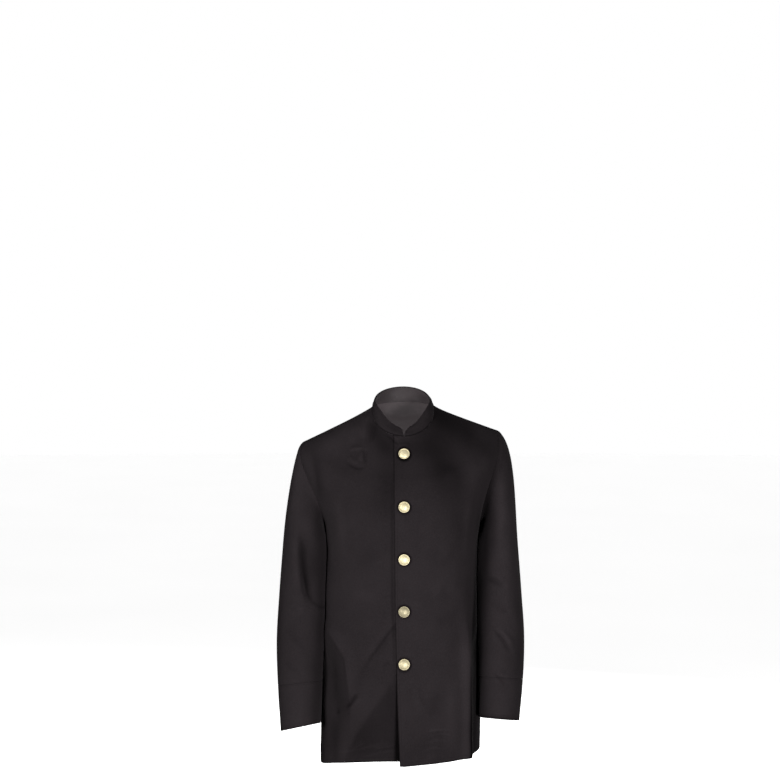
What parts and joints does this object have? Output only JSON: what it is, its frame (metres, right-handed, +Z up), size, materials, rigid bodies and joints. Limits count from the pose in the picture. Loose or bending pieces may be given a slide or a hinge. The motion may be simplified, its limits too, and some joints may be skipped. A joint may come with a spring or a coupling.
{
  "type": "waiter jacket",
  "caption": "Black stand-collar waiter's jacket, filled out and open at neck, hem and cuffs, with a single row of gilt shank buttons.",
  "frame": {"origin": "middle of the neck opening at the height of its seam at the sides, where the wearer's neck and shoulders carry the jacket", "axes": "+Z up, +X to the wearer's left, -Y to the front where the buttons are"},
  "size_m": [0.5424, 0.2438, 0.8238],
  "materials": {
    "black_cloth": "matt plain weave",
    "grey_lining": "smooth lining",
    "gilt": "polished gilt"
  },
  "bodies": {
    "root": {"front_left": "black_cloth", "front_right": "black_cloth", "back": "black_cloth", "sleeve_left": "black_cloth", "sleeve_right": "black_cloth", "cuff_left": "black_cloth", "cuff_right": "black_cloth", "collar": "black_cloth", "collar_lining": "grey_lining", "yoke_lining": "grey_lining", "button_1": "gilt", "button_2": "gilt", "button_3": "gilt", "button_4": "gilt", "button_5": "gilt"}
  },
  "joints": []
}
